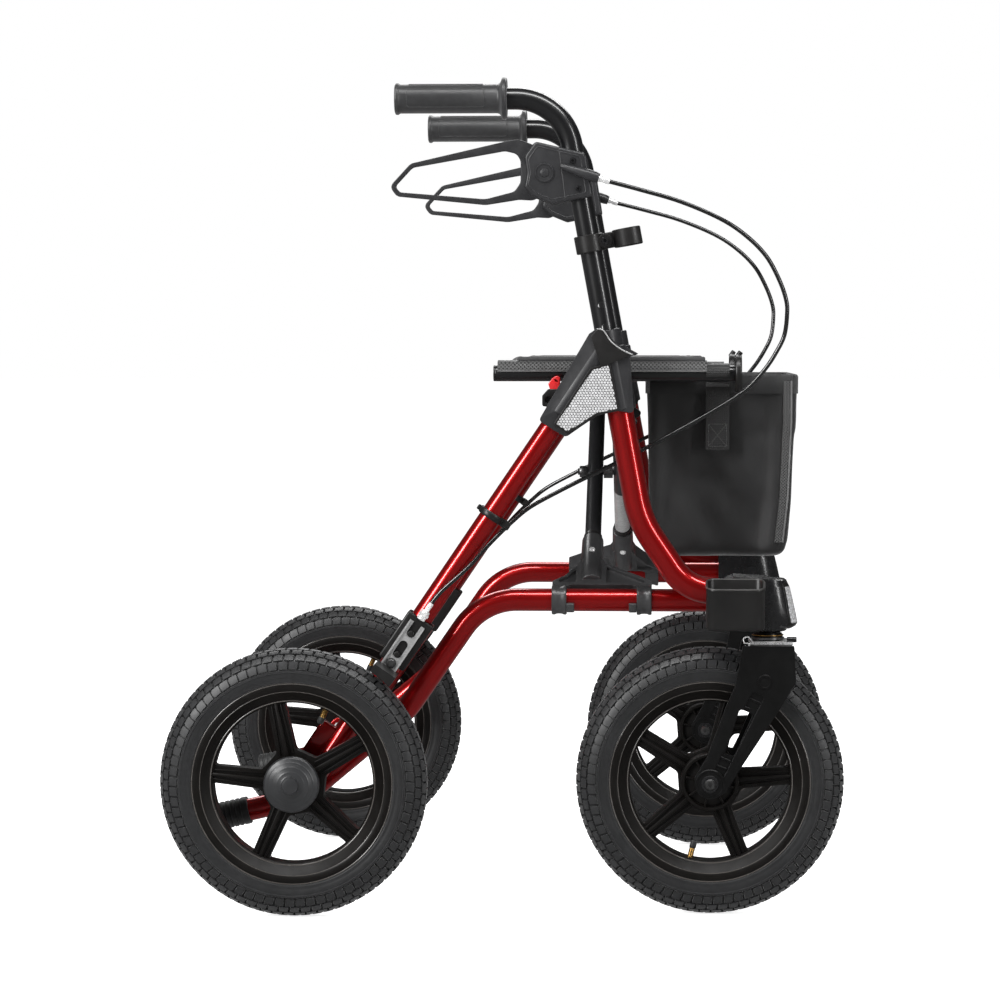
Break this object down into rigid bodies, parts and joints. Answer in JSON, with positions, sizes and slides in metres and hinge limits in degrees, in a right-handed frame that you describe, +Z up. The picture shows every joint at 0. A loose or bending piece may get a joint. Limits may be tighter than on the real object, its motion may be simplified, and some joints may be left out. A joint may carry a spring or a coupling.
{
  "type": "rollator walker",
  "caption": "Outdoor rollator walker with pneumatic wheels, cross-folding frame, loop brakes, seat, bag and stick holder.",
  "frame": {"origin": "centre of the footprint of the whole walker, on the floor", "axes": "+X in the walking direction, +Y to the walker's left, +Z up"},
  "size_m": [0.7763, 0.7064, 0.9501],
  "materials": {
    "frame_red": "gloss metallic lacquer",
    "tube_black": "gloss powder coat",
    "alloy": "brushed",
    "steel": "zinc plated",
    "housing_black": "semi-gloss cast",
    "plastic_dark": "fine-textured moulding",
    "plastic_grey": "fine-textured moulding",
    "rubber": "matt",
    "grip_rubber": "satin",
    "tyre": "matt",
    "rim_black": "semi-gloss",
    "reflector": "honeycomb retroreflective",
    "cable_sheath": "gloss",
    "latch_red": "satin",
    "seat_fabric": "coarse mesh",
    "bag_fabric": "woven nylon"
  },
  "bodies": {
    "right_frame": {"right_lower_tube": "frame_red", "right_front_leg": "frame_red", "right_rear_leg": "frame_red", "right_tip_sleeve": "rubber", "right_caster_housing": "housing_black", "right_junction_cover": "plastic_grey", "right_junction_reflector": "reflector", "right_cable_clip": "plastic_dark", "right_brake_body": "plastic_dark", "right_rear_axle": "steel", "stick_cup": "plastic_dark"},
    "right_rear_wheel": {"right_rear_tyre": "tyre", "right_rear_rim": "rim_black", "right_hub_cap": "plastic_grey"},
    "right_caster": {"right_fork": "housing_black", "right_front_axle": "steel"},
    "right_front_wheel": {"right_front_tyre": "tyre", "right_front_rim": "rim_black"},
    "right_handle": {"right_handle_tube": "tube_black", "right_grip": "grip_rubber", "right_lever_housing": "plastic_grey", "right_brake_cable": "cable_sheath", "stick_clip": "plastic_dark"},
    "right_brake_lever": {"right_brake_lever": "plastic_grey"},
    "right_height_knob": {"right_height_knob": "plastic_dark"},
    "right_brake_shoe": {"right_brake_shoe": "alloy"},
    "left_frame": {"left_lower_tube": "frame_red", "left_front_leg": "frame_red", "left_rear_leg": "frame_red", "left_tip_sleeve": "rubber", "left_caster_housing": "housing_black", "left_junction_cover": "plastic_grey", "left_junction_reflector": "reflector", "left_cable_clip": "plastic_dark", "left_brake_body": "plastic_dark", "left_rear_axle": "steel"},
    "left_rear_wheel": {"left_rear_tyre": "tyre", "left_rear_rim": "rim_black", "left_hub_cap": "plastic_grey"},
    "left_caster": {"left_fork": "housing_black", "left_front_axle": "steel"},
    "left_front_wheel": {"left_front_tyre": "tyre", "left_front_rim": "rim_black"},
    "left_handle": {"left_handle_tube": "tube_black", "left_grip": "grip_rubber", "left_lever_housing": "plastic_grey", "left_brake_cable": "cable_sheath"},
    "left_brake_lever": {"left_brake_lever": "plastic_grey"},
    "left_height_knob": {"left_height_knob": "plastic_dark"},
    "left_brake_shoe": {"left_brake_shoe": "alloy"},
    "brace_1": {"brace_tube_1": "tube_black", "brace_bracket_1": "plastic_dark", "left_seat_rail": "tube_black", "pivot_bolt": "steel", "seat": "seat_fabric"},
    "brace_2": {"brace_tube_2": "alloy", "brace_bracket_2": "plastic_dark", "right_seat_rail": "tube_black"},
    "bag": {"bag": "bag_fabric"},
    "fold_latch": {"fold_latch": "latch_red"}
  },
  "joints": [
    {"name": "fold", "type": "hinge", "parent": "right_frame", "child": "brace_1", "pos_m": [0.0992, -0.238, 0.355], "axis": [1, 0, 0], "range_deg": [0, 40], "deforming": ["seat", "bag"]},
    {"name": "brace_pivot", "type": "hinge", "parent": "brace_1", "child": "brace_2", "pos_m": [0.115, 0, 0.49358], "axis": [1, 0, 0], "range_deg": [-80, 0]},
    {"name": "left_side_hinge", "type": "hinge", "parent": "brace_2", "child": "left_frame", "pos_m": [0.1305, 0.238, 0.355], "axis": [1, 0, 0], "range_deg": [0, 40]},
    {"name": "bag_hang", "type": "hinge", "parent": "brace_2", "child": "bag", "pos_m": [0.246, -0.208, 0.6147], "axis": [1, 0, 0], "range_deg": [0, 40]},
    {"name": "right_rear_wheel_spin", "type": "hinge", "parent": "right_frame", "child": "right_rear_wheel", "pos_m": [-0.2357, -0.31, 0.1525], "axis": [0, 1, 0], "continuous": true},
    {"name": "right_caster_swivel", "type": "hinge", "parent": "right_frame", "child": "right_caster", "pos_m": [0.3011, -0.268, 0.34], "axis": [0, 0, 1], "continuous": true},
    {"name": "right_front_wheel_spin", "type": "hinge", "parent": "right_caster", "child": "right_front_wheel", "pos_m": [0.2357, -0.268, 0.1525], "axis": [0, 1, 0], "continuous": true},
    {"name": "right_handle_height", "type": "slide", "parent": "right_frame", "child": "right_handle", "axis": [-0.1805, 0, 0.9836], "range_m": [-0.05, 0.05], "deforming": ["right_brake_cable"]},
    {"name": "right_lever_pull", "type": "hinge", "parent": "right_handle", "child": "right_brake_lever", "pos_m": [0.0476, -0.267, 0.8414], "axis": [0, 1, 0], "range_deg": [0, 14], "stiffness_Nm_per_rad": 1, "springref_deg": -5.73},
    {"name": "right_shoe_slide", "type": "slide", "parent": "right_frame", "child": "right_brake_shoe", "axis": [-0.5606, 0, -0.8281], "range_m": [0, 0.0026]},
    {"name": "right_knob_turn", "type": "hinge", "parent": "right_frame", "child": "right_height_knob", "pos_m": [0.13534, -0.24, 0.56], "axis": [0, 1, 0], "continuous": true},
    {"name": "left_rear_wheel_spin", "type": "hinge", "parent": "left_frame", "child": "left_rear_wheel", "pos_m": [-0.2357, 0.31, 0.1525], "axis": [0, 1, 0], "continuous": true},
    {"name": "left_caster_swivel", "type": "hinge", "parent": "left_frame", "child": "left_caster", "pos_m": [0.3011, 0.268, 0.34], "axis": [0, 0, 1], "continuous": true},
    {"name": "left_front_wheel_spin", "type": "hinge", "parent": "left_caster", "child": "left_front_wheel", "pos_m": [0.2357, 0.268, 0.1525], "axis": [0, 1, 0], "continuous": true},
    {"name": "left_handle_height", "type": "slide", "parent": "left_frame", "child": "left_handle", "axis": [-0.1805, 0, 0.9836], "range_m": [-0.05, 0.05], "deforming": ["left_brake_cable"]},
    {"name": "left_lever_pull", "type": "hinge", "parent": "left_handle", "child": "left_brake_lever", "pos_m": [0.0476, 0.267, 0.8414], "axis": [0, 1, 0], "range_deg": [0, 14], "stiffness_Nm_per_rad": 1, "springref_deg": -5.73},
    {"name": "left_shoe_slide", "type": "slide", "parent": "left_frame", "child": "left_brake_shoe", "axis": [-0.5606, 0, -0.8281], "range_m": [0, 0.0026]},
    {"name": "left_knob_turn", "type": "hinge", "parent": "left_frame", "child": "left_height_knob", "pos_m": [0.13534, 0.24, 0.56], "axis": [0, 1, 0], "continuous": true},
    {"name": "latch_swing", "type": "hinge", "parent": "right_frame", "child": "fold_latch", "pos_m": [0.051, -0.234, 0.584], "axis": [0, -1, 0], "range_deg": [0, 30]}
  ],
  "couplings": [
    {"joint": "brace_pivot", "follows": "fold", "ratio": -2},
    {"joint": "left_side_hinge", "follows": "fold", "ratio": 1},
    {"joint": "bag_hang", "follows": "fold", "ratio": 1},
    {"joint": "right_shoe_slide", "follows": "right_lever_pull", "m_per_rad": 0.010641},
    {"joint": "left_shoe_slide", "follows": "left_lever_pull", "m_per_rad": 0.010641}
  ]
}
